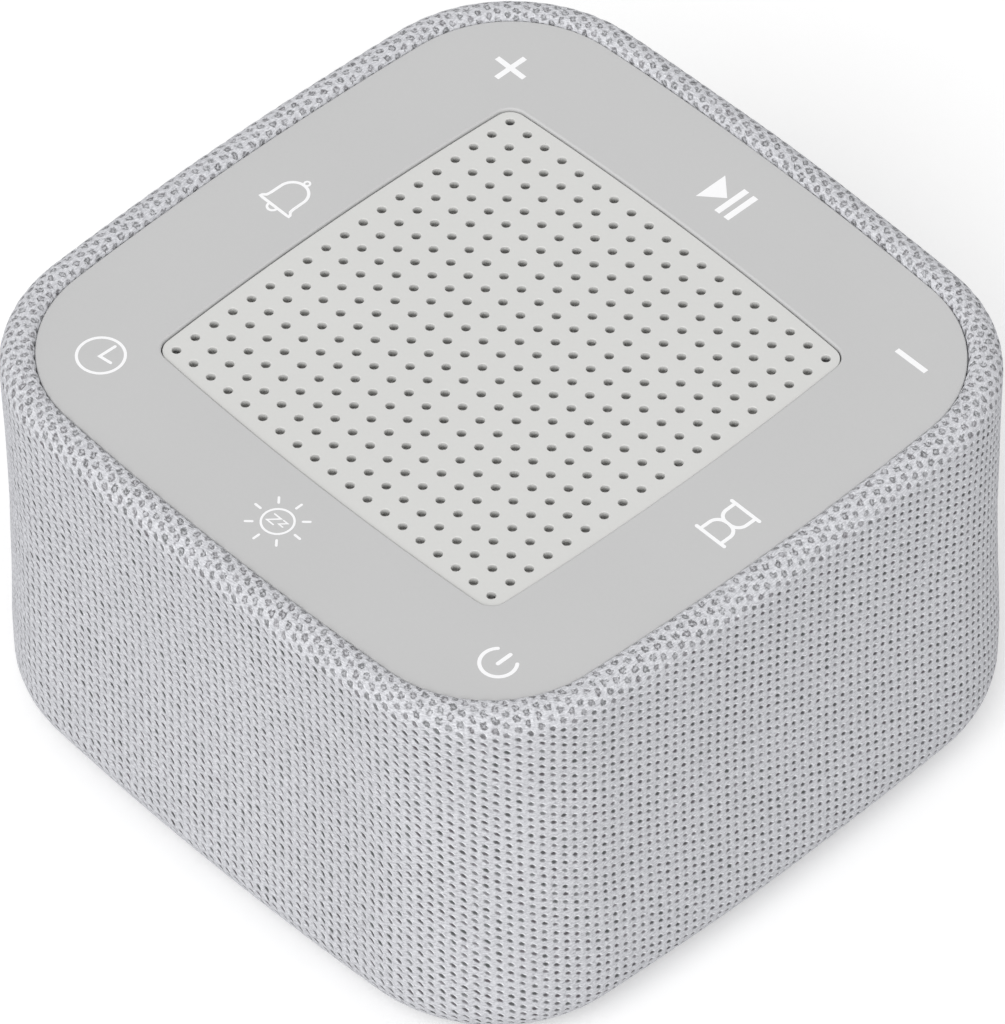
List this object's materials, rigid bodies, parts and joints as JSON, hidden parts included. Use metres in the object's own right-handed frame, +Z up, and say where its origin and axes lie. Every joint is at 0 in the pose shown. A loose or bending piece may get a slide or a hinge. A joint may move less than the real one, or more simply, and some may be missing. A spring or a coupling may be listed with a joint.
{
  "type": "white noise sound machine",
  "caption": "Square bedside sound machine in a knitted fabric sleeve, with a soft key mat round a perforated speaker grille on top and a clock display behind the front fabric.",
  "frame": {"origin": "centre of the footprint, on the surface that the feet stand on", "axes": "+Z up, -Y out of the front with the display, +X to the user's right"},
  "size_m": [0.104, 0.104, 0.0624],
  "materials": {
    "knit": "knitted, light grey",
    "silicone": "soft matte",
    "grille_plastic": "fine matte",
    "moulded": "fine matte",
    "foot_rubber": "matte",
    "screw_steel": "zinc plated",
    "speaker_cloth": "thin weave",
    "switch_plastic": "matte",
    "board": "glass-fibre board with green mask",
    "cable": "flat flexible cable",
    "foam": "closed-cell foam",
    "frame_steel": "black paint",
    "plate_steel": "zinc plated",
    "ferrite": "ground ceramic",
    "paper": "pressed paper",
    "copper": "enamelled wire",
    "surround_rubber": "matte",
    "spider_cloth": "impregnated weave",
    "lead_pvc": "smooth",
    "terminal": "laminate with tinned tabs",
    "chip": "moulded",
    "can": "sleeved",
    "connector": "moulded nylon",
    "cell": "nickel plated",
    "socket": "nickel plated",
    "bezel": "fine matte",
    "lens": "smoked, satin",
    "segment": "milky diffuser"
  },
  "bodies": {
    "root": {"fabric_sleeve": "knit", "body_shell": "moulded", "base_plate": "moulded", "foot_pads": "foot_rubber", "base_screws": "screw_steel", "top_deck": "moulded", "deck_screws": "screw_steel", "key_mat": "silicone", "grille": "grille_plastic", "grille_cloth": "speaker_cloth", "switch_bodies": "switch_plastic", "key_board": "board", "key_board_screws": "screw_steel", "key_ribbon": "cable", "driver_gasket": "foam", "driver_basket": "frame_steel", "driver_screws": "screw_steel", "driver_terminals": "terminal", "driver_top_plate": "plate_steel", "driver_magnet": "ferrite", "driver_yoke": "plate_steel", "cone_surround": "surround_rubber", "spider": "spider_cloth", "speaker_leads": "lead_pvc", "main_board": "board", "main_board_screws": "screw_steel", "control_chips": "chip", "capacitors": "can", "board_connectors": "connector", "cell_holder": "switch_plastic", "backup_cell": "cell", "power_socket": "socket", "port_bezel": "bezel", "display_lens": "lens", "display_reflector": "bezel", "display_segments": "segment", "display_board": "board", "display_screws": "screw_steel", "display_ribbon": "cable"},
    "key_plus_body": {"key_plus": "silicone", "stem_plus": "switch_plastic"},
    "key_play_body": {"key_play": "silicone", "stem_play": "switch_plastic"},
    "key_minus_body": {"key_minus": "silicone", "stem_minus": "switch_plastic"},
    "key_timer_body": {"key_timer": "silicone", "stem_timer": "switch_plastic"},
    "key_power_body": {"key_power": "silicone", "stem_power": "switch_plastic"},
    "key_snooze_body": {"key_snooze": "silicone", "stem_snooze": "switch_plastic"},
    "key_clock_body": {"key_clock": "silicone", "stem_clock": "switch_plastic"},
    "key_alarm_body": {"key_alarm": "silicone", "stem_alarm": "switch_plastic"},
    "cone_body": {"driver_cone": "paper", "dust_cap": "paper", "voice_coil": "copper"}
  },
  "joints": [
    {"name": "press_plus", "type": "slide", "parent": "root", "child": "key_plus_body", "axis": [0, 0, -1], "range_m": [0, 0.0003], "stiffness_N_per_m": 4000},
    {"name": "press_play", "type": "slide", "parent": "root", "child": "key_play_body", "axis": [0, 0, -1], "range_m": [0, 0.0003], "stiffness_N_per_m": 4000},
    {"name": "press_minus", "type": "slide", "parent": "root", "child": "key_minus_body", "axis": [0, 0, -1], "range_m": [0, 0.0003], "stiffness_N_per_m": 4000},
    {"name": "press_timer", "type": "slide", "parent": "root", "child": "key_timer_body", "axis": [0, 0, -1], "range_m": [0, 0.0003], "stiffness_N_per_m": 4000},
    {"name": "press_power", "type": "slide", "parent": "root", "child": "key_power_body", "axis": [0, 0, -1], "range_m": [0, 0.0003], "stiffness_N_per_m": 4000},
    {"name": "press_snooze", "type": "slide", "parent": "root", "child": "key_snooze_body", "axis": [0, 0, -1], "range_m": [0, 0.0003], "stiffness_N_per_m": 4000},
    {"name": "press_clock", "type": "slide", "parent": "root", "child": "key_clock_body", "axis": [0, 0, -1], "range_m": [0, 0.0003], "stiffness_N_per_m": 4000},
    {"name": "press_alarm", "type": "slide", "parent": "root", "child": "key_alarm_body", "axis": [0, 0, -1], "range_m": [0, 0.0003], "stiffness_N_per_m": 4000},
    {"name": "cone_stroke", "type": "slide", "parent": "root", "child": "cone_body", "axis": [0, 0, 1], "range_m": [-0.0012, 0.0012], "stiffness_N_per_m": 1500, "deforming": ["cone_surround", "spider"]}
  ]
}
